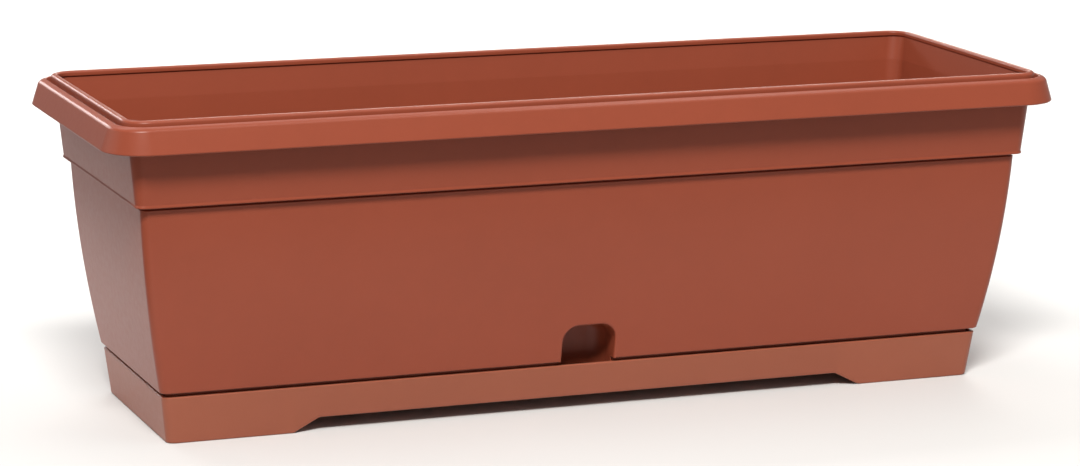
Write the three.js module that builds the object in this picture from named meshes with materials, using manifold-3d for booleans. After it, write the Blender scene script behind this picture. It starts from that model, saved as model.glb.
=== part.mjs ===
// Self watering planter: a long terracotta-coloured window box standing on a shallow water tray.
// The box has no floor of its own. Two perforated grids lie on a ledge inside it and carry the soil,
// and four wicking baskets hang from the grids into the water. A recess at the foot of the front wall
// is open downwards into the tray, and it is where the water is poured in.
//
// Millimetres. X runs along the length, the front is at -Y, +Z is up, and the origin is on the ground
// below the middle. Profiles are lists of rounded rectangles: an inset from the front edge of the rim, a
// height, a corner radius and how much further the rectangle reaches at its ends.
import * as THREE from 'three';
import { mergeVertices } from 'three/addons/utils/BufferGeometryUtils.js';
import Module from 'manifold-3d';

const wasm = await Module();
wasm.setup();

// ---- Driving dimensions ----------------------------------------------------------------------
const LENGTH = 604;
const WIDTH = 212;
const HEIGHT = 196;
const RIM_END = 2;
const HALF_X = LENGTH / 2 - RIM_END;
const HALF_Y = WIDTH / 2;
const CORNER_STEPS = 5;
const GAP = 0.3;

// Rim, band and wall of the box
const SHEET = 2.5;
const RIM_RADIUS = 25;
const SKIRT_Z = 177.6;
const SKIRT_SHEET = 2.4;
const BEAD_INSET = 10.4;
const LIP_INSET = 14.8;
const LIP_Z = 193;
const BAND_Z = 144.4;
const BAND_TOP_INSET = 13.9;
const BAND_FOOT_INSET = 17.3;
const WALL_TOP_INSET = 20.8;
const WALL_LEAN = 5.5;
const WALL_BELLY = 8.5;
const WALL_FOOT_Z = 31;
const WALL_RADIUS = 5;
const INNER_RADIUS = 9;
const WALL_STEPS = 5;

// Ledge, central deck and locating skirt at the foot of the box
const LEDGE_TOP = WALL_FOOT_Z + SHEET;
const LEDGE_INSET = 49;
const DECK_HALF = 24.5;
const DECK_SLOT_HALF = 12;
const LOCATOR_OUTER = 39.9;
const LOCATOR_INNER = 42.1;
const LOCATOR_Z = 24;

// Fill recess in the front wall
const FILL_HALF = 17;
const FILL_TOP = 53.5;
const FILL_RADIUS = 10;
const FILL_BACK = -49.5;
const FILL_SHEET = 2.2;

// Tray
const TRAY_TOP = 28.65;
const TRAY_TOP_INSET = 36;
const TRAY_FOOT_INSET = 39.5;
const TRAY_SHEET = 2.4;
const TRAY_RADIUS = 5;
const BELLY_Z = 8.35;
const FOOT_INNER_X = 184;
const FOOT_SLANT = 16;
const WELL_FLOOR = 2.5;
const RIB_THICK = 3;
const RIB_INSET = 43.5;

// Separator grids
const GRID_SHEET = 3;
const GRID_Z = LEDGE_TOP + GAP;
const GRID_INSET = 38.4;
const GRID_START_X = 21;
const GRID_RIB_Y = 40;
const SLOT_LENGTH = 18;
const SLOT_WIDTH = 5;
const SLOT_PITCH_X = 26;
const SLOT_PITCH_Y = 13;

// Wicking baskets
const BASKET_X = [65, 195];
const BASKET_HOLE_RADIUS = 29;
const BASKET_FLANGE_RADIUS = 32;
const BASKET_TOP_RADIUS = 28;
const BASKET_FOOT_RADIUS = 23;
const BASKET_SHEET = 2;
const BASKET_FOOT_Z = 13;
const BASKET_Z = GRID_Z + GRID_SHEET + GAP;
const BASKET_STEPS = 32;
const BASKET_SLOTS = 8;

// ---- Materials -------------------------------------------------------------------------------
const plastic = (color) => new THREE.MeshStandardMaterial({ color, roughness: 0.55, metalness: 0 });
const TERRACOTTA = 0x9d533e;
const TRAY_TERRACOTTA = 0x9b5944;
const BLACK_PLASTIC = 0x26241f;

// ---- Solids ----------------------------------------------------------------------------------
function toManifold(geometry) {
  geometry.deleteAttribute('normal');
  geometry.deleteAttribute('uv');
  const merged = mergeVertices(geometry, 1e-4);
  return new wasm.Manifold(new wasm.Mesh({
    numProp: 3,
    vertProperties: new Float32Array(merged.attributes.position.array),
    triVerts: new Uint32Array(merged.index.array),
  }));
}

function toGeometry(solid) {
  const mesh = solid.getMesh();
  const geometry = new THREE.BufferGeometry();
  geometry.setAttribute('position', new THREE.Float32BufferAttribute(mesh.vertProperties, 3));
  geometry.setIndex(Array.from(mesh.triVerts));
  geometry.computeVertexNormals();
  return geometry;
}

function extrusion(shape, depth) {
  return new THREE.ExtrudeGeometry(shape, { depth, bevelEnabled: false, curveSegments: 6 });
}

function block(x0, x1, y0, y1, z0, z1) {
  const geometry = new THREE.BoxGeometry(x1 - x0, y1 - y0, z1 - z0);
  geometry.translate((x0 + x1) / 2, (y0 + y1) / 2, (z0 + z1) / 2);
  return toManifold(geometry);
}

// Corner points of one rounded rectangle, anticlockwise seen from above.
function ring([inset, z, radius, endExtra = 0]) {
  const points = [];
  const corners = [[1, 1], [-1, 1], [-1, -1], [1, -1]];
  corners.forEach(([sideX, sideY], quarter) => {
    const centreX = sideX * (HALF_X + endExtra - inset - radius);
    const centreY = sideY * (HALF_Y - inset - radius);
    for (let step = 0; step <= CORNER_STEPS; step += 1) {
      const angle = (quarter + step / CORNER_STEPS) * Math.PI / 2;
      points.push([centreX + radius * Math.cos(angle), centreY + radius * Math.sin(angle), z]);
    }
  });
  return points;
}

// Triangles between neighbouring rings. The profile climbs on the outside of the solid.
function ringWalls(count, size, closed) {
  const index = [];
  const last = closed ? count : count - 1;
  for (let row = 0; row < last; row += 1) {
    const next = (row + 1) % count;
    for (let k = 0; k < size; k += 1) {
      const right = (k + 1) % size;
      const a = row * size + k;
      const b = row * size + right;
      const c = next * size + right;
      const d = next * size + k;
      index.push(a, b, c, a, c, d);
    }
  }
  return index;
}

function ringGeometry(profile, closed) {
  const rings = profile.map(ring);
  const size = rings[0].length;
  const index = ringWalls(rings.length, size, closed);
  const top = (rings.length - 1) * size;
  for (let k = 1; !closed && k < size - 1; k += 1) {
    index.push(0, k + 1, k, top, top + k, top + k + 1);
  }
  const geometry = new THREE.BufferGeometry();
  geometry.setAttribute('position', new THREE.Float32BufferAttribute(rings.flat(2), 3));
  geometry.setIndex(index);
  return geometry;
}

const hollowSweep = (profile) => toManifold(ringGeometry(profile, true));
const stack = (profile) => toManifold(ringGeometry(profile, false));

// ---- Planter box -----------------------------------------------------------------------------
// The wall leans in towards its foot, and a little more so low down.
function wallInset(z) {
  const down = (BAND_Z - z) / (BAND_Z - WALL_FOOT_Z);
  return WALL_TOP_INSET + WALL_LEAN * down + WALL_BELLY * down * down;
}

function wallRings(thickness, radius, footZ) {
  const rings = [];
  for (let step = 0; step <= WALL_STEPS; step += 1) {
    const z = footZ + (BAND_Z - footZ) * step / WALL_STEPS;
    rings.push([wallInset(z) + thickness, z, radius]);
  }
  return rings;
}

function boxProfile() {
  const outside = [
    [LOCATOR_OUTER, LOCATOR_Z, 4],
    [LOCATOR_OUTER, WALL_FOOT_Z, 4],
    ...wallRings(0, WALL_RADIUS, WALL_FOOT_Z),
    [BAND_FOOT_INSET, BAND_Z, WALL_RADIUS + 0.5],
    [BAND_TOP_INSET, SKIRT_Z, WALL_RADIUS + 3],
  ];
  const rim = [
    [BEAD_INSET + 1.5, 186.5, WALL_RADIUS + 6],
    [5.6, 187.5, RIM_RADIUS - 5.6, RIM_END],
    [SKIRT_SHEET, SKIRT_Z, RIM_RADIUS - SKIRT_SHEET, RIM_END],
    [0, SKIRT_Z, RIM_RADIUS, RIM_END],
    [4.1, 190.6, RIM_RADIUS - 4.1, RIM_END],
    [5.3, 192.4, RIM_RADIUS - 5.3, RIM_END],
    [8, 193.4, RIM_RADIUS - 8, RIM_END / 2],
    [8.5, 191.6, RIM_RADIUS - 8.5, RIM_END / 4],
    [BEAD_INSET - 0.3, 191.6, RIM_RADIUS - BEAD_INSET, RIM_END / 4],
    [BEAD_INSET, HEIGHT - 1.5, RIM_RADIUS - BEAD_INSET, RIM_END / 4],
    [BEAD_INSET + 1.4, HEIGHT, RIM_RADIUS - BEAD_INSET - 1.4, RIM_END / 4],
    [LIP_INSET - 1.4, HEIGHT, INNER_RADIUS + 1.4, RIM_END / 4],
    [LIP_INSET, HEIGHT - 1.5, INNER_RADIUS, RIM_END / 4],
    [LIP_INSET, LIP_Z, INNER_RADIUS, RIM_END / 4],
  ];
  const inside = [
    [LIP_INSET - 1, LIP_Z - 0.6, INNER_RADIUS],
    [BAND_TOP_INSET + SHEET, SKIRT_Z, INNER_RADIUS],
    [BAND_FOOT_INSET + SHEET, BAND_Z + SHEET, INNER_RADIUS],
    ...wallRings(SHEET, INNER_RADIUS, LEDGE_TOP).reverse(),
    [LEDGE_INSET, LEDGE_TOP, 3],
    [LEDGE_INSET, WALL_FOOT_Z, 3],
    [LOCATOR_INNER, WALL_FOOT_Z, 3],
    [LOCATOR_INNER, LOCATOR_Z, 3],
  ];
  return [...outside, ...rim, ...inside];
}

// Front view of the recess: straight sides and rounded upper corners, drawn in X and height.
function archShape(halfWidth, footZ, topZ, radius) {
  const shape = new THREE.Shape();
  shape.moveTo(-halfWidth, footZ);
  shape.lineTo(halfWidth, footZ);
  shape.lineTo(halfWidth, topZ - radius);
  shape.absarc(halfWidth - radius, topZ - radius, radius, 0, Math.PI / 2, false);
  shape.absarc(radius - halfWidth, topZ - radius, radius, Math.PI / 2, Math.PI, false);
  return shape;
}

// Plan of the recess: open at the front, rounded at the back.
function recessPlan(halfWidth, frontY, backY, radius) {
  const shape = new THREE.Shape();
  shape.moveTo(-halfWidth, frontY);
  shape.lineTo(halfWidth, frontY);
  shape.lineTo(halfWidth, backY - radius);
  shape.absarc(halfWidth - radius, backY - radius, radius, 0, Math.PI / 2, false);
  shape.absarc(radius - halfWidth, backY - radius, radius, Math.PI / 2, Math.PI, false);
  return shape;
}

function recessSolid(grow, footZ) {
  const half = FILL_HALF + grow;
  const top = FILL_TOP + grow;
  const back = FILL_BACK + grow;
  const radius = FILL_RADIUS + grow;
  const arch = extrusion(archShape(half, footZ, top, radius), WIDTH);
  arch.rotateX(Math.PI / 2);
  arch.translate(0, HALF_Y, 0);
  const plan = extrusion(recessPlan(half, -HALF_Y, back, radius), HEIGHT);
  plan.translate(0, 0, -HEIGHT / 4);
  return toManifold(arch).intersect(toManifold(plan));
}

// Drain slots through the deck behind the recess.
function deckSlots() {
  const slots = [];
  for (const y of [-28, -14, 0, 14, 28, 42]) {
    slots.push(block(-DECK_SLOT_HALF, DECK_SLOT_HALF, y - 2.5, y + 2.5, WALL_FOOT_Z - 1, LEDGE_TOP + 1));
  }
  return slots;
}

function planterBox() {
  const locator = stack([[LOCATOR_OUTER, LOCATOR_Z, 4], [LOCATOR_OUTER, WALL_FOOT_Z + 0.5, 4]]);
  const envelope = stack(wallRings(0, WALL_RADIUS, WALL_FOOT_Z)).add(locator);
  const recessShell = recessSolid(FILL_SHEET, LOCATOR_Z).intersect(envelope);
  const backY = HALF_Y - LEDGE_INSET + 2;
  const deck = block(-DECK_HALF, DECK_HALF, -backY, backY, WALL_FOOT_Z, LEDGE_TOP);
  return hollowSweep(boxProfile())
    .add(recessShell)
    .add(deckSlots().reduce((plate, slot) => plate.subtract(slot), deck))
    .subtract(recessSolid(0, LOCATOR_Z - 2));
}

// ---- Reservoir tray --------------------------------------------------------------------------
function trayInset(z) {
  return TRAY_TOP_INSET + (TRAY_FOOT_INSET - TRAY_TOP_INSET) * (1 - z / TRAY_TOP);
}

// Front elevation of the tray: a foot at each end, and the floor raised between them.
function trayElevation(footZ, bellyZ, slantShift, topZ) {
  const slope = FOOT_SLANT / BELLY_Z;
  const footX = FOOT_INNER_X - slope * footZ + slantShift;
  const bellyX = FOOT_INNER_X - slope * bellyZ + slantShift;
  const shape = new THREE.Shape();
  shape.moveTo(-HALF_X, footZ);
  shape.lineTo(-footX, footZ);
  shape.lineTo(-bellyX, bellyZ);
  shape.lineTo(bellyX, bellyZ);
  shape.lineTo(footX, footZ);
  shape.lineTo(HALF_X, footZ);
  shape.lineTo(HALF_X, topZ);
  shape.lineTo(-HALF_X, topZ);
  const geometry = extrusion(shape, WIDTH);
  geometry.rotateX(Math.PI / 2);
  geometry.translate(0, HALF_Y, 0);
  return toManifold(geometry);
}

// Upright ribs on the inside of the tray wall. The locating skirt of the box stands on them.
function trayRibs() {
  const ribTop = LOCATOR_Z - GAP;
  const half = RIB_THICK / 2;
  const ribs = [];
  for (const side of [-1, 1]) {
    for (const x of [-230, -130, -35, 35, 130, 230]) {
      const footZ = Math.abs(x) > FOOT_INNER_X ? WELL_FLOOR - 1 : BELLY_Z + 1;
      const wallY = side * (HALF_Y - trayInset(0) - 1);
      const innerY = side * (HALF_Y - RIB_INSET);
      ribs.push(block(x - half, x + half, Math.min(wallY, innerY), Math.max(wallY, innerY), footZ, ribTop));
    }
    for (const y of [-35, 35]) {
      const wallX = side * (HALF_X - trayInset(0) - 1);
      const innerX = side * (HALF_X - RIB_INSET);
      const footZ = WELL_FLOOR - 1;
      ribs.push(block(Math.min(wallX, innerX), Math.max(wallX, innerX), y - half, y + half, footZ, ribTop));
    }
  }
  return ribs;
}

function reservoirTray() {
  const slope = FOOT_SLANT / BELLY_Z;
  const slantShift = TRAY_SHEET * Math.hypot(1, slope);
  const outer = stack([[TRAY_FOOT_INSET, 0, TRAY_RADIUS], [TRAY_TOP_INSET, TRAY_TOP, TRAY_RADIUS]])
    .intersect(trayElevation(0, BELLY_Z, 0, HEIGHT));
  const inner = stack([
    [TRAY_FOOT_INSET + TRAY_SHEET, 0, TRAY_RADIUS - 1],
    [TRAY_TOP_INSET + TRAY_SHEET, TRAY_TOP, TRAY_RADIUS - 1],
    [TRAY_TOP_INSET + TRAY_SHEET, TRAY_TOP + 1, TRAY_RADIUS - 1],
  ]).intersect(trayElevation(WELL_FLOOR, BELLY_Z + TRAY_SHEET, slantShift, HEIGHT));
  return trayRibs().reduce((tray, rib) => tray.add(rib), outer.subtract(inner));
}

// ---- Separator grids -------------------------------------------------------------------------
// Outline of the right-hand grid, from the central deck to the end of the box.
function gridOutline() {
  const endX = HALF_X - GRID_INSET;
  const sideY = HALF_Y - GRID_INSET;
  const shape = new THREE.Shape();
  shape.moveTo(GRID_START_X, -sideY);
  shape.lineTo(endX - INNER_RADIUS, -sideY);
  shape.absarc(endX - INNER_RADIUS, INNER_RADIUS - sideY, INNER_RADIUS, -Math.PI / 2, 0, false);
  shape.absarc(endX - INNER_RADIUS, sideY - INNER_RADIUS, INNER_RADIUS, 0, Math.PI / 2, false);
  shape.lineTo(GRID_START_X, sideY);
  return shape;
}

function slotFits(x, y) {
  const reach = SLOT_LENGTH / 2 + 3;
  const overLedge = x + reach > HALF_X - LEDGE_INSET || x - reach < DECK_HALF
    || Math.abs(y) + SLOT_WIDTH / 2 > HALF_Y - LEDGE_INSET;
  const nearBasket = BASKET_X.some((basketX) => {
    const clearX = Math.max(0, Math.abs(x - basketX) - SLOT_LENGTH / 2);
    const clearY = Math.max(0, Math.abs(y) - SLOT_WIDTH / 2);
    return Math.hypot(clearX, clearY) < BASKET_FLANGE_RADIUS + 2;
  });
  const overRib = Math.abs(Math.abs(y) - GRID_RIB_Y) < SLOT_WIDTH / 2 + 1.5;
  return !overLedge && !nearBasket && !overRib;
}

function roundHole(x, radius) {
  const hole = new THREE.Path();
  hole.absarc(x, 0, radius, 0, Math.PI * 2, true);
  return hole;
}

function slotBlocks() {
  const blocks = [];
  const middleX = (BASKET_X[0] + BASKET_X[1]) / 2;
  const halfLength = SLOT_LENGTH / 2;
  const halfWidth = SLOT_WIDTH / 2;
  for (let column = -4; column <= 4; column += 1) {
    for (let row = -4; row <= 4; row += 1) {
      const x = middleX + column * SLOT_PITCH_X;
      const y = row * SLOT_PITCH_Y;
      if (slotFits(x, y)) {
        const [x0, x1] = [x - halfLength, x + halfLength];
        blocks.push(block(x0, x1, y - halfWidth, y + halfWidth, GRID_Z - 1, BASKET_Z));
      }
    }
  }
  return blocks;
}

function separatorGrid() {
  const shape = gridOutline();
  for (const basketX of BASKET_X) {
    shape.holes.push(roundHole(basketX, BASKET_HOLE_RADIUS));
  }
  const plate = extrusion(shape, GRID_SHEET);
  plate.translate(0, 0, GRID_Z);
  const ribEnd = HALF_X - LEDGE_INSET - 3;
  const ribs = [-GRID_RIB_Y, GRID_RIB_Y].map((y) => (
    block(DECK_HALF + 3, ribEnd, y - 1, y + 1, WALL_FOOT_Z, GRID_Z + 1)
  ));
  const ribbed = ribs.reduce((grid, rib) => grid.add(rib), toManifold(plate));
  return slotBlocks().reduce((grid, slot) => grid.subtract(slot), ribbed);
}

// ---- Wicking baskets -------------------------------------------------------------------------
// A tapered cup about its own upright axis, hung by a flange, with slots round its wall.
function wickBasket() {
  const floorTop = BASKET_FOOT_Z + BASKET_SHEET;
  const flangeTop = BASKET_Z + BASKET_SHEET;
  const profile = [
    [0, BASKET_FOOT_Z],
    [BASKET_FOOT_RADIUS, BASKET_FOOT_Z],
    [BASKET_TOP_RADIUS, BASKET_Z],
    [BASKET_FLANGE_RADIUS, BASKET_Z],
    [BASKET_FLANGE_RADIUS, flangeTop],
    [BASKET_TOP_RADIUS - BASKET_SHEET, flangeTop],
    [BASKET_FOOT_RADIUS - BASKET_SHEET, floorTop],
    [0, floorTop],
  ];
  const lathe = new THREE.LatheGeometry(profile.map(([r, z]) => new THREE.Vector2(r, z)), BASKET_STEPS);
  lathe.rotateX(Math.PI / 2);
  let cup = toManifold(lathe);
  for (let k = 0; k < BASKET_SLOTS; k += 1) {
    const slot = new THREE.BoxGeometry(14, 3.2, 14);
    slot.translate(BASKET_TOP_RADIUS - 2, 0, floorTop + 9);
    slot.rotateZ(Math.PI * 2 * (k + 0.5) / BASKET_SLOTS);
    cup = cup.subtract(toManifold(slot));
  }
  for (let k = 0; k < 5; k += 1) {
    const drain = new THREE.CylinderGeometry(3, 3, 8, 12);
    drain.rotateX(Math.PI / 2);
    drain.translate(k === 0 ? 0 : 12, 0, BASKET_FOOT_Z);
    drain.rotateZ(Math.PI * k / 2);
    cup = cup.subtract(toManifold(drain));
  }
  return cup;
}

// ---- Assembly --------------------------------------------------------------------------------
const planter = new THREE.Group();

function addPart(name, solid, color, x = 0, mirrored = false) {
  const placed = mirrored ? solid.mirror([1, 0, 0]) : solid;
  const mesh = new THREE.Mesh(toGeometry(placed), plastic(color));
  mesh.name = name;
  mesh.position.x = x;
  planter.add(mesh);
}

addPart('planter_box', planterBox(), TERRACOTTA);
addPart('reservoir_tray', reservoirTray(), TRAY_TERRACOTTA);
const grid = separatorGrid();
addPart('separator_grid_left', grid, BLACK_PLASTIC, 0, true);
addPart('separator_grid_right', grid, BLACK_PLASTIC);
const basket = wickBasket();
addPart('wick_basket_left_outer', basket, BLACK_PLASTIC, -BASKET_X[1]);
addPart('wick_basket_left_inner', basket, BLACK_PLASTIC, -BASKET_X[0]);
addPart('wick_basket_right_inner', basket, BLACK_PLASTIC, BASKET_X[0]);
addPart('wick_basket_right_outer', basket, BLACK_PLASTIC, BASKET_X[1]);

export default planter;
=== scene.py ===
"""Self watering planter: the finished look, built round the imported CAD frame.

Lengths in the profiles are millimetres, as in the part's own source. They become metres when a mesh is
made. X runs along the planter, the front is at -Y and +Z is up.
"""
import math

import bmesh
import bpy
from mathutils import Matrix, Vector


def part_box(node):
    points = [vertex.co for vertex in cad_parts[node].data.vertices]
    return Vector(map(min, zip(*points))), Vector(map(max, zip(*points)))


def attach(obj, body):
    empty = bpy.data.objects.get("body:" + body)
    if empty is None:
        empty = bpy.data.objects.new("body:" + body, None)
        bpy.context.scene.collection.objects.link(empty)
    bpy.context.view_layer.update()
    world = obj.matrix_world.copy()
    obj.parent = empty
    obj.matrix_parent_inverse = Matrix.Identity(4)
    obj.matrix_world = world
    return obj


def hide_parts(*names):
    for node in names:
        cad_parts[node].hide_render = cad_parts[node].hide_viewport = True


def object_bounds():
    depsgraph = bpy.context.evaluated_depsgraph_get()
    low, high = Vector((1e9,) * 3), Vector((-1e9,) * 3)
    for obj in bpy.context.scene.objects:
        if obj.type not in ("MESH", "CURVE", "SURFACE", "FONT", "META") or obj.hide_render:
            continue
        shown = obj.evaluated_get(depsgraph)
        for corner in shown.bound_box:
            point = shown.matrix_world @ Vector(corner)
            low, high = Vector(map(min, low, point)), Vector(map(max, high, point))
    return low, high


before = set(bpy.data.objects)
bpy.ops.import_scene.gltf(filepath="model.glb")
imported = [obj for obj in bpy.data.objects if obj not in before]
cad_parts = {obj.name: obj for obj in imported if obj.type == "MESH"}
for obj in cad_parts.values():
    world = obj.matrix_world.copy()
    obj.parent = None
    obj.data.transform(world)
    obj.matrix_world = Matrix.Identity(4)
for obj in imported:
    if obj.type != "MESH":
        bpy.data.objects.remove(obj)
CAD_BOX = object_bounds()

# ---- Driving dimensions ------------------------------------------------------------------------
MM = 0.001
RIM_END = 2
HALF_X = CAD_BOX[1].x / MM - RIM_END
HALF_Y = CAD_BOX[1].y / MM
HEIGHT = CAD_BOX[1].z / MM
CORNER_STEPS = 14
FILLET_STEP = math.radians(20)
SMOOTH_ANGLE = math.radians(34)

SHEET = 2.5
RIM_RADIUS = 25
SKIRT_Z = 177.6
SKIRT_SHEET = 2.4
BEAD_INSET = 10.4
LIP_INSET = 14.8
LIP_Z = 193
BAND_Z = 144.4
BAND_TOP_INSET = 13.9
BAND_FOOT_INSET = 17.3
WALL_TOP_INSET = 20.8
WALL_LEAN = 5.5
WALL_BELLY = 8.5
WALL_FOOT_Z = 31
WALL_RADIUS = 5
INNER_RADIUS = 9
WALL_STEPS = 22

LEDGE_TOP = WALL_FOOT_Z + SHEET
LEDGE_INSET = 49
DECK_HALF = 24.5
DECK_SLOT_HALF = 12
LOCATOR_OUTER = 39.9
LOCATOR_INNER = 42.1
LOCATOR_Z = 24

FILL_HALF = 17
FILL_TOP = 53.5
FILL_RADIUS = 10
FILL_BACK = -49.5
FILL_SHEET = 2.2
FILL_FILLET = 1.3

TRAY_TOP = 28.65
TRAY_TOP_INSET = 36
TRAY_FOOT_INSET = 39.5
TRAY_SHEET = 2.4
TRAY_RADIUS = 5
BELLY_Z = 8.35
FOOT_INNER_X = 184
FOOT_SLANT = 16
WELL_FLOOR = 2.5
RIB_INSET = 43.5

GRID_SHEET = 3
GRID_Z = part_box("separator_grid_right")[1].z / MM - GRID_SHEET
GRID_INSET = 38.4
GRID_START_X = 21
GRID_RIB_Y = 40
SLOT_LENGTH = 18
SLOT_WIDTH = 5
SLOT_PITCH = (26, 13)

BASKET_X = (65, 195)
BASKET_HOLE_RADIUS = 29
BASKET_FLANGE_RADIUS = 32
BASKET_TOP_RADIUS = 28
BASKET_FOOT_RADIUS = 23
BASKET_SHEET = 2
BASKET_FOOT_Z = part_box("wick_basket_right_inner")[0].z / MM
BASKET_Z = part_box("wick_basket_right_inner")[1].z / MM - BASKET_SHEET


# ---- Camera, light and floor -------------------------------------------------------------------
def add_camera():
    camera = bpy.data.cameras.new("camera")
    camera.lens = 121.26
    camera.sensor_width = 36
    camera.clip_end = 50
    yaw, pitch, roll = (math.radians(a) for a in (21.255, 11.616, 0.553))
    forward = Vector((math.sin(yaw) * math.cos(pitch), math.cos(yaw) * math.cos(pitch), -math.sin(pitch)))
    level = Vector((math.cos(yaw), -math.sin(yaw), 0))
    upright = level.cross(forward)
    right = level * math.cos(roll) + upright * math.sin(roll)
    up = upright * math.cos(roll) - level * math.sin(roll)
    turn = Matrix((right, up, -forward)).transposed()
    eye = bpy.data.objects.new("camera", camera)
    eye.matrix_world = Matrix.Translation((-0.80092, -2.04871, 0.54748)) @ turn.to_4x4()
    bpy.context.scene.collection.objects.link(eye)
    bpy.context.scene.camera = eye


def add_area_light(name, place, aim, size, power, colour, spread=180):
    lamp = bpy.data.lights.new(name, "AREA")
    lamp.shape = "RECTANGLE"
    lamp.size, lamp.size_y = size
    lamp.energy = power
    lamp.spread = math.radians(spread)
    lamp.color = colour
    holder = bpy.data.objects.new(name, lamp)
    holder.location = place
    holder.rotation_euler = (Vector(aim) - Vector(place)).to_track_quat("-Z", "Y").to_euler()
    bpy.context.scene.collection.objects.link(holder)


def add_studio():
    """Key light from the front left, thin glint lights for the rim, and a floor that ends just outside
    the camera's view, so that little light comes back from it onto the front and the left end."""
    scene = bpy.context.scene
    scene.view_settings.view_transform = "Standard"
    world = bpy.data.worlds.new("studio")
    world.use_nodes = True
    background = world.node_tree.nodes["Background"]
    background.inputs["Color"].default_value = (1.0, 0.99, 0.98, 1)
    background.inputs["Strength"].default_value = 0.34
    scene.world = world
    aim = (0, 0, 0.1)
    add_area_light("key", (-0.9, -2.1, 2.7), aim, (1.0, 0.7), 150, (1, 0.98, 0.94))
    add_area_light("left_sheen", (-2.5, 0.9, 0.95), aim, (2.2, 1.3), 9, (1, 0.95, 0.92))
    add_area_light("end_glint", (-0.87, 2.5, 1.0), aim, (1.2, 0.35), 16, (1, 0.99, 0.97))
    add_area_light("back_glint", (1.2, 2.7, 1.3), aim, (1.5, 0.3), 13, (1, 0.95, 0.86))
    add_area_light("top_glint", (0.8, -0.2, 2.2), aim, (2.4, 0.25), 14, (1, 0.98, 0.94))
    add_area_light("backdrop", (1.0, 3.2, 2.6), (1.0, 3.0, 0), (4.5, 3.5), 120, (1, 1, 1), 90)
    bpy.ops.mesh.primitive_plane_add(size=16, location=(7.58, 7.6, 0))
    floor = bpy.context.object
    floor.name = "floor"
    floor.data.materials.append(floor_material())


# ---- Materials ---------------------------------------------------------------------------------
def new_material(name):
    material = bpy.data.materials.new(name)
    material.use_nodes = True
    tree = material.node_tree
    return material, tree, tree.nodes["Principled BSDF"]


def add_node(tree, kind, settings=None, **inputs):
    node = tree.nodes.new(kind)
    for key, value in (settings or {}).items():
        setattr(node, key, value)
    for key, value in inputs.items():
        node.inputs[key.replace("_", " ")].default_value = value
    return node


def noise(tree, scale, detail, roughness=0.5):
    place = tree.nodes.get("place") or add_node(tree, "ShaderNodeTexCoord", {"name": "place"})
    texture = add_node(tree, "ShaderNodeTexNoise", None, Scale=scale, Detail=detail, Roughness=roughness)
    tree.links.new(place.outputs["Object"], texture.inputs["Vector"])
    return texture.outputs["Fac"]


def remap(tree, value, low, high, start=0.3, end=0.7):
    node = add_node(tree, "ShaderNodeMapRange", None)
    for key, number in (("From Min", start), ("From Max", end), ("To Min", low), ("To Max", high)):
        node.inputs[key].default_value = number
    tree.links.new(value, node.inputs["Value"])
    return node.outputs["Result"]


def mix_colours(tree, factor, first, second):
    node = add_node(tree, "ShaderNodeMix", {"data_type": "RGBA"})
    tree.links.new(factor, node.inputs["Factor"])
    for colour, socket in ((first, node.inputs["A"]), (second, node.inputs["B"])):
        if isinstance(colour, tuple):
            socket.default_value = (*colour, 1)
        else:
            tree.links.new(colour, socket)
    return node.outputs["Result"]


def scaled(colour, factor):
    return tuple(channel * factor for channel in colour)


def moulded_plastic(name, colour, tone, rough, grain):
    """Satin injection-moulded plastic: cloudy tone, fine flow mottling, a spark-eroded grain."""
    material, tree, shader = new_material(name)
    clouds = remap(tree, noise(tree, 7, 3), 0, 1)
    mottle = remap(tree, noise(tree, 90, 4, 0.6), 0, 1)
    base = mix_colours(tree, clouds, scaled(colour, 1 - tone), scaled(colour, 1 + tone))
    dark = mix_colours(tree, clouds, scaled(colour, 1 - 2.2 * tone), scaled(colour, 1 + 0.2 * tone))
    blended = mix_colours(tree, mottle, dark, base)
    tree.links.new(blended, shader.inputs["Base Color"])
    tree.links.new(remap(tree, noise(tree, 260, 3), rough - 0.02, rough + 0.02), shader.inputs["Roughness"])
    shader.inputs["IOR"].default_value = 1.49
    shader.inputs["Specular IOR Level"].default_value = 0.28
    bump = add_node(tree, "ShaderNodeBump", None, Strength=grain, Distance=0.00012)
    tree.links.new(noise(tree, 1500, 2, 0.55), bump.inputs["Height"])
    tree.links.new(bump.outputs["Normal"], shader.inputs["Normal"])
    return material


def floor_material():
    material, tree, shader = new_material("floor_paper")
    tone = remap(tree, noise(tree, 3, 2), 0, 1)
    paper = mix_colours(tree, tone, (0.61, 0.608, 0.606), (0.63, 0.628, 0.626))
    tree.links.new(paper, shader.inputs["Base Color"])
    shader.inputs["Roughness"].default_value = 0.9
    return material


# ---- Profiles ----------------------------------------------------------------------------------
def fillet(before, corner, after, radius):
    """Points of the arc that rounds one corner of a profile. The first two numbers are the plane."""
    here = Vector(corner[:2])
    back = Vector(before[:2]) - here
    ahead = Vector(after[:2]) - here
    turn = math.pi - back.angle(ahead)
    if radius <= 0 or turn < 0.02:
        return [tuple(corner)]
    reach = radius * math.tan(turn / 2)
    limit = 0.48 * min(back.length, ahead.length)
    if reach > limit:
        reach = limit
        radius = reach / math.tan(turn / 2)
    start = here + back.normalized() * reach
    end = here + ahead.normalized() * reach
    centre = here + (back.normalized() + ahead.normalized()).normalized() * radius / math.cos(turn / 2)
    steps = max(2, math.ceil(turn / FILLET_STEP))
    points = []
    for step in range(steps + 1):
        part = step / steps
        spread = math.sin(turn)
        if spread < 1e-6:
            arm = (start - centre).lerp(end - centre, part)
        else:
            first = math.sin((1 - part) * turn) / spread
            second = math.sin(part * turn) / spread
            arm = (start - centre) * first + (end - centre) * second
        points.append((centre.x + arm.x, centre.y + arm.y, *corner[2:]))
    return points


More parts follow.
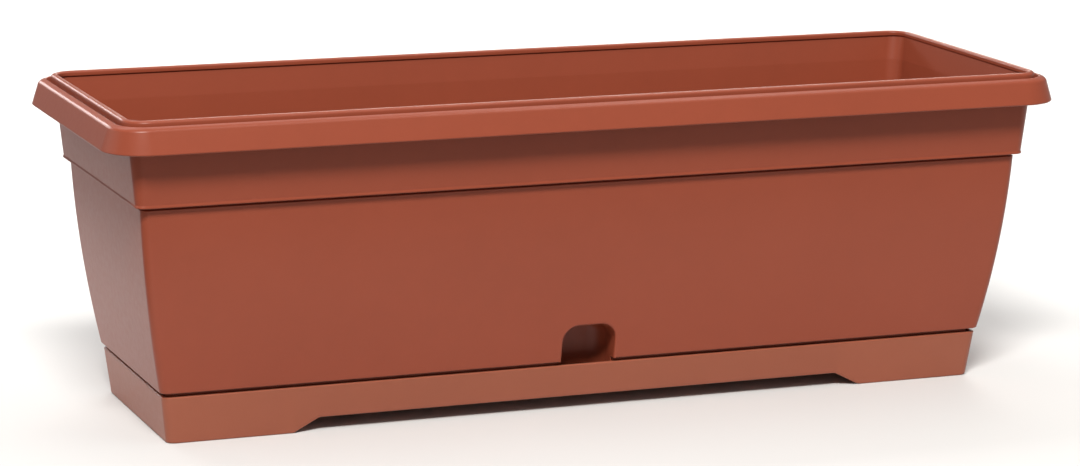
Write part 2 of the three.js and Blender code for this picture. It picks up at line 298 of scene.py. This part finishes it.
def rounded(corners):
    """A closed profile whose corners (a, b, fillet radius, extra...) are rounded."""
    points = []
    for k, corner in enumerate(corners):
        plain = [(c[0], c[1], *c[3:]) for c in (corners[k - 1], corner, corners[(k + 1) % len(corners)])]
        points.extend(fillet(plain[0], plain[1], plain[2], corner[2]))
    return points


def wall_inset(z):
    down = (BAND_Z - z) / (BAND_Z - WALL_FOOT_Z)
    return WALL_TOP_INSET + WALL_LEAN * down + WALL_BELLY * down * down


def wall_corners(thickness, radius, low, high):
    step = (high - low) / WALL_STEPS
    heights = [low + step * k for k in range(WALL_STEPS + 1)]
    return [(wall_inset(z) + thickness, z, 0, radius) for z in heights]


def box_profile():
    outside = [
        (LOCATOR_OUTER, LOCATOR_Z, 0.6, 4),
        (LOCATOR_OUTER, WALL_FOOT_Z, 0.4, 4),
        (wall_inset(WALL_FOOT_Z), WALL_FOOT_Z, 0.9, WALL_RADIUS),
        *wall_corners(0, WALL_RADIUS, WALL_FOOT_Z + 3, BAND_Z - 3),
        (WALL_TOP_INSET, BAND_Z - 1.9, 0.4, WALL_RADIUS),
        (WALL_TOP_INSET + 1.4, BAND_Z - 1.5, 0.2, WALL_RADIUS),
        (WALL_TOP_INSET + 1.4, BAND_Z, 0.2, WALL_RADIUS),
        (BAND_FOOT_INSET - 0.3, BAND_Z, 0.5, WALL_RADIUS + 0.5),
        (BAND_FOOT_INSET - 0.3, BAND_Z + 0.8, 0.5, WALL_RADIUS + 0.5),
        (BAND_FOOT_INSET, BAND_Z + 1.8, 0.5, WALL_RADIUS + 0.5),
    ]
    rim = [
        (BAND_TOP_INSET, SKIRT_Z, 6, WALL_RADIUS + 3),
        (BEAD_INSET + 1.5, 186.5, 1.5, WALL_RADIUS + 6),
        (5.6, 187.5, 1.5, RIM_RADIUS - 5.6, RIM_END),
        (SKIRT_SHEET, SKIRT_Z, 0.7, RIM_RADIUS - SKIRT_SHEET, RIM_END),
        (0, SKIRT_Z, 1.1, RIM_RADIUS, RIM_END),
        (4.6, 192, 3.2, RIM_RADIUS - 4.6, RIM_END),
        (8.2, 193.4, 0.6, RIM_RADIUS - 8.2, RIM_END / 2),
        (8.5, 190.4, 0.4, RIM_RADIUS - 8.5, RIM_END / 4),
        (BEAD_INSET - 0.2, 190.4, 0.4, RIM_RADIUS - BEAD_INSET, RIM_END / 4),
        (BEAD_INSET, HEIGHT, 1.9, RIM_RADIUS - BEAD_INSET, RIM_END / 4),
        (LIP_INSET, HEIGHT, 1.9, INNER_RADIUS + 0.5, RIM_END / 4),
        (LIP_INSET, LIP_Z, 0.5, INNER_RADIUS, RIM_END / 4),
    ]
    inside = [
        (LIP_INSET - 1, LIP_Z - 0.6, 0.3, INNER_RADIUS),
        (BAND_TOP_INSET + SHEET, SKIRT_Z, 8, INNER_RADIUS),
        (BAND_FOOT_INSET + SHEET, BAND_Z + SHEET, 1, INNER_RADIUS),
        (WALL_TOP_INSET + SHEET, BAND_Z + 0.4, 0.8, INNER_RADIUS),
        *reversed(wall_corners(SHEET, INNER_RADIUS, LEDGE_TOP + 3, BAND_Z - 3)),
        (wall_inset(LEDGE_TOP) + SHEET, LEDGE_TOP, 1.2, INNER_RADIUS),
        (LEDGE_INSET, LEDGE_TOP, 0.5, 3),
        (LEDGE_INSET, WALL_FOOT_Z, 0.5, 3),
        (LOCATOR_INNER, WALL_FOOT_Z, 0.6, 3),
        (LOCATOR_INNER, LOCATOR_Z, 0.6, 3),
    ]
    return rounded(outside + rim + inside)


# ---- Mesh building -----------------------------------------------------------------------------
def ring(inset, z, radius, end_extra=0, columns=()):
    """One rounded rectangle, anticlockwise from above, with extra points at columns on the long sides."""
    points = []
    for quarter, (side_x, side_y) in enumerate(((1, 1), (-1, 1), (-1, -1), (1, -1))):
        centre_x = side_x * (HALF_X + end_extra - inset - radius)
        centre_y = side_y * (HALF_Y - inset - radius)
        for step in range(CORNER_STEPS + 1):
            angle = (quarter + step / CORNER_STEPS) * math.pi / 2
            points.append((centre_x + radius * math.cos(angle), centre_y + radius * math.sin(angle), z))
        if quarter in (0, 2):
            order = sorted(columns, reverse=quarter == 0)
            points.extend((x, side_y * (HALF_Y - inset), z) for x in order)
    return points


def loft(mesh, loops, closed=False, capped=False):
    """Joins equal loops of points with quads. The loops climb on the outside of the solid."""
    rows = [[mesh.verts.new(Vector(p) * MM) for p in loop] for loop in loops]
    size = len(rows[0])
    pairs = list(zip(rows, rows[1:]))
    if closed:
        pairs.append((rows[-1], rows[0]))
    for low, high in pairs:
        for k in range(size):
            mesh.faces.new((low[k], low[(k + 1) % size], high[(k + 1) % size], high[k]))
    if capped:
        mesh.faces.new(list(reversed(rows[0])))
        mesh.faces.new(rows[-1])
    return rows


def finish_mesh(mesh, name):
    bmesh.ops.recalc_face_normals(mesh, faces=mesh.faces)
    data = bpy.data.meshes.new(name)
    mesh.to_mesh(data)
    mesh.free()
    return data


def add_object(name, data):
    piece = bpy.data.objects.new(name, data)
    bpy.context.scene.collection.objects.link(piece)
    return piece


def prism(outline, axis, start, end):
    """A capped prism: the outline's two numbers are X and Z for axis Y, or X and Y for axis Z."""
    mesh = bmesh.new()
    loops = []
    for depth in (start, end):
        if axis == "Y":
            loops.append([(a, depth, b) for a, b in outline])
        else:
            loops.append([(a, b, depth) for a, b in outline])
    loft(mesh, loops, capped=True)
    return finish_mesh(mesh, "cutter")


def arch(half, foot, top, radius, steps=10):
    """An arch from its left foot over the top to its right foot."""
    points = [(-half, foot)]
    for side, begin in ((-1, math.pi), (1, math.pi / 2)):
        for step in range(steps + 1):
            angle = begin - step / steps * math.pi / 2
            centre = side * (half - radius)
            points.append((centre + radius * math.cos(angle), top - radius + radius * math.sin(angle)))
    points.append((half, foot))
    return points


def boolean(target, tools, operation):
    """The target's mesh after a cut or a join with each tool's mesh."""
    piece = add_object("work", target)
    helpers = []
    for tool in tools:
        helper = add_object("tool", tool)
        helpers.append(helper)
        modifier = piece.modifiers.new("cut", "BOOLEAN")
        modifier.operation = operation
        modifier.solver = "EXACT"
        modifier.object = helper
    graph = bpy.context.evaluated_depsgraph_get()
    result = bpy.data.meshes.new_from_object(piece.evaluated_get(graph))
    for spent in [piece, *helpers]:
        bpy.data.objects.remove(spent)
    return result


def joined(meshes, name):
    mesh = bmesh.new()
    for data in meshes:
        mesh.from_mesh(data)
    data = bpy.data.meshes.new(name)
    mesh.to_mesh(data)
    mesh.free()
    return data


def bevelled(data, width, segments=2, angle=40):
    piece = add_object("work", data)
    modifier = piece.modifiers.new("bevel", "BEVEL")
    modifier.width = width * MM
    modifier.segments = segments
    modifier.limit_method = "ANGLE"
    modifier.angle_limit = math.radians(angle)
    graph = bpy.context.evaluated_depsgraph_get()
    result = bpy.data.meshes.new_from_object(piece.evaluated_get(graph))
    bpy.data.objects.remove(piece)
    return result


def add_piece(name, data, material, body, slot, *nodes):
    """A finished piece: smooth shading with crisp edges, its material, its body and its CAD nodes."""
    data.materials.clear()
    data.materials.append(material)
    for polygon in data.polygons:
        polygon.use_smooth = True
        polygon.material_index = 0
    data.set_sharp_from_angle(angle=SMOOTH_ANGLE)
    piece = add_object(name, data)
    weighted = piece.modifiers.new("weighted_normals", "WEIGHTED_NORMAL")
    weighted.keep_sharp = True
    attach(piece, body)
    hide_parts(*nodes)
    return piece


# ---- Planter box -------------------------------------------------------------------------------
def box_sweep():
    mesh = bmesh.new()
    loft(mesh, [ring(*point) for point in box_profile()], closed=True)
    return finish_mesh(mesh, "sweep")


def recess_plan(grow, steps=10):
    """The recess seen from above: open at the front and rounded at the back."""
    half, back, radius = FILL_HALF + grow, FILL_BACK + grow, FILL_RADIUS + grow
    right = []
    for step in range(steps + 1):
        angle = step / steps * math.pi / 2
        right.append((half - radius + radius * math.cos(angle), back - radius + radius * math.sin(angle)))
    left = [(-x, y) for x, y in reversed(right)]
    return [(-half, -HALF_Y), (half, -HALF_Y), *right, *left]


def recess_loops(grow, foot, front):
    """Arches of the recess from the front to its rounded back."""
    half, top = FILL_HALF + grow, FILL_TOP + grow
    back, radius = FILL_BACK + grow, FILL_RADIUS + grow
    loops = [[(x, front, z) for x, z in arch(half, foot, top, radius)]]
    steps = 10
    for step in range(steps + 1):
        angle = step / steps * math.pi / 2
        pull = radius * (1 - math.cos(angle))
        y = back - radius + radius * math.sin(angle)
        corner = max(radius - 0.7 * pull, 2)
        loops.append([(x, y, z) for x, z in arch(half - pull, foot, top - 0.6 * pull, corner)])
    return loops


def recess_cutter():
    mesh = bmesh.new()
    loft(mesh, recess_loops(FILL_FILLET, LOCATOR_Z - 4, -HALF_Y + 5), capped=True)
    return finish_mesh(mesh, "cutter")


def front_wall_y(z):
    return wall_inset(z) - HALF_Y


def recess_liner():
    """The wall of the recess: rounded front edge, inside, floor edge and outside."""
    outline = arch(FILL_HALF, WALL_FOOT_Z, FILL_TOP, FILL_RADIUS)
    wide = arch(FILL_HALF + FILL_FILLET, WALL_FOOT_Z, FILL_TOP + FILL_FILLET, FILL_RADIUS + FILL_FILLET)
    lip = []
    steps = 5
    for step in range(steps + 1):
        angle = step / steps * math.pi / 2
        part = 1 - math.cos(angle)
        depth = FILL_FILLET * (1 - math.sin(angle))
        loop = []
        for (x0, z0), (x1, z1) in zip(outline, wide):
            x = x0 + (x1 - x0) * part
            z = z0 + (z1 - z0) * part
            loop.append((x, front_wall_y(z) + depth, z))
        lip.append(loop)
    inner = recess_loops(0, WALL_FOOT_Z, -HALF_Y)[1:]
    outer = recess_loops(FILL_SHEET, WALL_FOOT_Z, -HALF_Y)[1:]
    hidden_front = [[(x, front_wall_y(z) + 1.3, z) for x, _, z in outer[0]]]
    mesh = bmesh.new()
    loops = list(reversed(inner)) + lip + hidden_front + outer
    rows = [[mesh.verts.new(Vector(p) * MM) for p in loop] for loop in loops]
    for low, high in zip(rows, rows[1:]):
        for k in range(len(low) - 1):
            mesh.faces.new((low[k], low[k + 1], high[k + 1], high[k]))
    mesh.faces.new(rows[0])
    mesh.faces.new(rows[-1])
    edge = [row[0] for row in rows] + [row[-1] for row in reversed(rows)]
    mesh.faces.new(edge)
    bmesh.ops.triangulate(mesh, faces=[f for f in mesh.faces if len(f.verts) > 4])
    return finish_mesh(mesh, "liner")


def recess_foot():
    """The lower edge of the recess wall, which reaches down inside the tray."""
    front = LOCATOR_OUTER - HALF_Y
    paths = []
    for grow in (FILL_SHEET, 0):
        plan = [(x, max(y, front + FILL_FILLET)) for x, y in recess_plan(grow)]
        paths.append(plan[1:] + plan[:1])
    return prism(paths[0] + paths[1][::-1], "Z", LOCATOR_Z, WALL_FOOT_Z)


def central_deck():
    """The plate across the middle of the ledge, with drain slots behind the recess."""
    back = HALF_Y - LEDGE_INSET + 1
    outline = [(-DECK_HALF, -back), (DECK_HALF, -back), (DECK_HALF, back), (-DECK_HALF, back)]
    low, high = WALL_FOOT_Z + 0.05, LEDGE_TOP - 0.05
    slots = [prism(stadium(0, y, 2 * DECK_SLOT_HALF, 5), "Z", low - 1, high + 1) for y in range(-28, 43, 14)]
    recess = prism(recess_plan(FILL_SHEET - 0.4), "Z", low - 1, high + 1)
    plate = boolean(prism(outline, "Z", low, high), [joined(slots, "slots"), recess], "DIFFERENCE")
    return bevelled(plate, 0.4)


def make_planter_box(material):
    shell = boolean(box_sweep(), [recess_cutter()], "DIFFERENCE")
    data = joined([shell, recess_liner(), recess_foot(), central_deck()], "planter_box_moulding")
    add_piece("planter_box_moulding", data, material, "box", "box_plastic", "planter_box")


# ---- Reservoir tray ----------------------------------------------------------------------------
def tray_inset(z):
    return TRAY_TOP_INSET + (TRAY_FOOT_INSET - TRAY_TOP_INSET) * (1 - z / TRAY_TOP)


def elevation(x, foot, belly, shift, blend=1.4):
    """Height of the tray's underside, or of its floor, at x, with rounded changes of slope."""
    slope = BELLY_Z / FOOT_SLANT
    start = FOOT_INNER_X - foot / slope + shift
    end = FOOT_INNER_X - belly / slope + shift
    distance = abs(x)
    rise = foot + (start - distance) * slope
    if distance > start + blend:
        return foot
    if distance > start - blend:
        return foot + slope * (start + blend - distance) ** 2 / (4 * blend)
    if distance > end + blend:
        return rise
    if distance > end - blend:
        return belly - slope * (distance - end + blend) ** 2 / (4 * blend)
    return belly


def elevation_columns(shift):
    slope = BELLY_Z / FOOT_SLANT
    marks = (FOOT_INNER_X + shift, FOOT_INNER_X - BELLY_Z / slope + shift)
    columns = [mark + step for mark in marks for step in (-1.4, -0.7, 0, 0.7, 1.4)]
    return [side * x for side in (-1, 1) for x in columns]


def tray_skin(foot, belly, shift, sheet, top, radius, edge):
    """A rounded, tapering tub whose floor follows the elevation. Returns its loops, top loop first."""
    columns = elevation_columns(shift)
    loops = []

    def place(inset, lift_from_floor, share):
        loop = []
        for x, y, _ in ring(inset, 0, radius, columns=columns):
            floor = elevation(x, foot, belly, shift)
            loop.append((x, y, floor + lift_from_floor + (top - floor - edge) * share))
        return loop

    for share in (1.0, 0.66, 0.33, 0.0):
        z = foot + edge + (top - foot - edge) * share
        loops.append(place(tray_inset(z) + sheet, edge, share))
    for step in (1, 2, 3):
        angle = step / 3 * math.pi / 2
        inset = tray_inset(foot) + sheet + edge * (1 - math.cos(angle))
        loops.append(place(inset, edge * (1 - math.sin(angle)), 0.0))
    return loops


def bridge_floor(mesh, row, upward):
    """Closes a loop with strips that run from the front side to the back side."""
    ordered = sorted(row, key=lambda v: (round(v.co.x, 6), v.co.y))
    stations = {}
    for vertex in ordered:
        stations.setdefault(round(vertex.co.x, 6), []).append(vertex)
    keys = sorted(stations)
    for left, right in zip(keys, keys[1:]):
        a, b = stations[left], stations[right]
        corners = [a[0], b[0], b[-1], a[-1]] if a[0] != a[-1] and b[0] != b[-1] else None
        if corners and len(set(corners)) == 4:
            mesh.faces.new(corners if upward else list(reversed(corners)))


def rib(x0, x1, y0, y1, z0, z1):
    outline = [(x0, y0), (x1, y0), (x1, y1), (x0, y1)]
    return bevelled(prism(outline, "Z", z0, z1), 0.5)


def tray_ribs():
    top = LOCATOR_Z - 0.3
    ribs = []
    outer = tray_inset(0) + 1
    for side in (-1, 1):
        for x in (-230, -130, -35, 35, 130, 230):
            floor = WELL_FLOOR - 1 if abs(x) > FOOT_INNER_X else BELLY_Z + 1
            y0, y1 = sorted((side * (HALF_Y - outer), side * (HALF_Y - RIB_INSET)))
            ribs.append(rib(x - 1.5, x + 1.5, y0, y1, floor, top))
        for y in (-35, 35):
            x0, x1 = sorted((side * (HALF_X - outer), side * (HALF_X - RIB_INSET)))
            ribs.append(rib(x0, x1, y - 1.5, y + 1.5, WELL_FLOOR - 1, top))
    return ribs


def make_tray(material):
    mesh = bmesh.new()
    slope = FOOT_SLANT / BELLY_Z
    shift = TRAY_SHEET * math.hypot(1, slope)
    outer = tray_skin(0, BELLY_Z, 0, 0, TRAY_TOP - 1, TRAY_RADIUS, 0.9)
    floor = (WELL_FLOOR, BELLY_Z + TRAY_SHEET)
    inner = tray_skin(*floor, shift, TRAY_SHEET, TRAY_TOP - 0.5, TRAY_RADIUS - 1, 1.5)
    outer_columns = elevation_columns(0)
    lip = []
    for inset, drop in ((0.07, 0.62), (0.29, 0.29), (0.62, 0.07), (1.0, 0)):
        lip.append(ring(TRAY_TOP_INSET + inset, TRAY_TOP - drop, TRAY_RADIUS, columns=outer_columns))
    inner_columns = elevation_columns(shift)
    for inset, drop in ((0.6, 0), (0.15, 0.15)):
        inner_inset = TRAY_TOP_INSET + TRAY_SHEET - inset
        lip.append(ring(inner_inset, TRAY_TOP - drop, TRAY_RADIUS - 1, columns=inner_columns))
    rows = loft(mesh, list(reversed(outer)) + lip + inner)
    bridge_floor(mesh, rows[0], False)
    bridge_floor(mesh, rows[-1], True)
    data = joined([finish_mesh(mesh, "tray"), *tray_ribs()], "reservoir_tray_moulding")
    add_piece("reservoir_tray_moulding", data, material, "tray", "tray_plastic", "reservoir_tray")


# ---- Separator grids ---------------------------------------------------------------------------
def grid_outline():
    end = HALF_X - GRID_INSET
    side = HALF_Y - GRID_INSET
    corners = [(GRID_START_X, -side, 1), (end, -side, INNER_RADIUS), (end, side, INNER_RADIUS),
               (GRID_START_X, side, 1)]
    return rounded(corners)


def slot_fits(x, y):
    reach = SLOT_LENGTH / 2 + 3
    if x + reach > HALF_X - LEDGE_INSET or x - reach < DECK_HALF:
        return False
    if abs(y) + SLOT_WIDTH / 2 > HALF_Y - LEDGE_INSET:
        return False
    if abs(abs(y) - GRID_RIB_Y) < SLOT_WIDTH / 2 + 1.5:
        return False
    clear_y = max(0, abs(y) - SLOT_WIDTH / 2)
    return all(math.hypot(max(0, abs(x - c) - SLOT_LENGTH / 2), clear_y) >= BASKET_FLANGE_RADIUS + 2
               for c in BASKET_X)


def stadium(x, y, length, width):
    half, radius = length / 2, width / 2
    return rounded([(x - half, y - radius, radius * 0.9), (x + half, y - radius, radius * 0.9),
                    (x + half, y + radius, radius * 0.9), (x - half, y + radius, radius * 0.9)])


def circle(x, y, radius, steps):
    angles = [2 * math.pi * k / steps for k in range(steps)]
    return [(x + radius * math.cos(a), y + radius * math.sin(a)) for a in angles]


def grid_mesh():
    low, high = GRID_Z - 1, GRID_Z + GRID_SHEET + 1
    cutters = [prism(circle(c, 0, BASKET_HOLE_RADIUS, 72), "Z", low, high) for c in BASKET_X]
    middle = sum(BASKET_X) / 2
    slots = [(middle + column * SLOT_PITCH[0], row * SLOT_PITCH[1])
             for column in range(-4, 5) for row in range(-4, 5)]
    for x, y in slots:
        if slot_fits(x, y):
            cutters.append(prism(stadium(x, y, SLOT_LENGTH, SLOT_WIDTH), "Z", low, high))
    plate = prism(grid_outline(), "Z", GRID_Z, GRID_Z + GRID_SHEET)
    plate = boolean(plate, [joined(cutters, "cutters")], "DIFFERENCE")
    ribs = []
    for y in (-GRID_RIB_Y, GRID_RIB_Y):
        ribs.append(rib(DECK_HALF + 3, HALF_X - LEDGE_INSET - 3, y - 1, y + 1, WALL_FOOT_Z, GRID_Z + 1))
    return joined([bevelled(plate, 0.35), *ribs], "grid")


def make_grids(material):
    right = grid_mesh()
    left = right.copy()
    left.transform(Matrix.Scale(-1, 4, (1, 0, 0)))
    left.flip_normals()
    for side, data in (("left", left), ("right", right)):
        node = "separator_grid_" + side
        data.name = node + "_moulding"
        add_piece(node + "_moulding", data, material, "grid_" + side, "inner_plastic", node)


# ---- Wicking baskets ---------------------------------------------------------------------------
def basket_mesh():
    floor_top = BASKET_FOOT_Z + BASKET_SHEET
    flange_top = BASKET_Z + BASKET_SHEET
    profile = rounded([
        (0.01, BASKET_FOOT_Z, 0), (BASKET_FOOT_RADIUS, BASKET_FOOT_Z, 1.4),
        (BASKET_TOP_RADIUS, BASKET_Z, 0.5), (BASKET_FLANGE_RADIUS, BASKET_Z, 0.5),
        (BASKET_FLANGE_RADIUS, flange_top, 0.6), (BASKET_TOP_RADIUS - BASKET_SHEET, flange_top, 0.8),
        (BASKET_FOOT_RADIUS - BASKET_SHEET, floor_top, 1.2), (0.01, floor_top, 0),
    ])
    mesh = bmesh.new()
    loft(mesh, [[(x, y, z) for x, y in circle(0, 0, r, 72)] for r, z in profile], closed=True)
    cup = finish_mesh(mesh, "cup")
    cutters = []
    for k in range(8):
        outline = rounded([(-1.6, floor_top + 2, 1.5), (1.6, floor_top + 2, 1.5),
                           (1.6, floor_top + 16, 1.5), (-1.6, floor_top + 16, 1.5)])
        slot = prism(outline, "Y", BASKET_TOP_RADIUS - 9, BASKET_TOP_RADIUS + 5)
        slot.transform(Matrix.Rotation(math.pi * (k + 0.5) / 4, 4, "Z"))
        cutters.append(slot)
    for k in range(5):
        drain = prism(circle(0 if k == 0 else 12, 0, 3, 24), "Z", BASKET_FOOT_Z - 2, floor_top + 2)
        drain.transform(Matrix.Rotation(math.pi * k / 2, 4, "Z"))
        cutters.append(drain)
    return boolean(cup, [joined(cutters, "cutters")], "DIFFERENCE")


def make_baskets(material):
    cup = basket_mesh()
    for side, sign in (("left", -1), ("right", 1)):
        for which, distance in (("inner", BASKET_X[0]), ("outer", BASKET_X[1])):
            name = f"wick_basket_{side}_{which}"
            data = cup.copy()
            data.transform(Matrix.Translation((sign * distance * MM, 0, 0)))
            data.name = name + "_moulding"
            add_piece(name + "_moulding", data, material, f"basket_{side}_{which}", "inner_plastic", name)


# ---- Assembly ----------------------------------------------------------------------------------
add_camera()
add_studio()
make_planter_box(moulded_plastic("terracotta_plastic", (0.250, 0.053, 0.026), 0.03, 0.34, 0.05))
make_tray(moulded_plastic("tray_plastic", (0.275, 0.080, 0.044), 0.03, 0.36, 0.05))
inner_plastic = moulded_plastic("inner_plastic", (0.020, 0.018, 0.016), 0.12, 0.5, 0.4)
make_grids(inner_plastic)
make_baskets(inner_plastic)
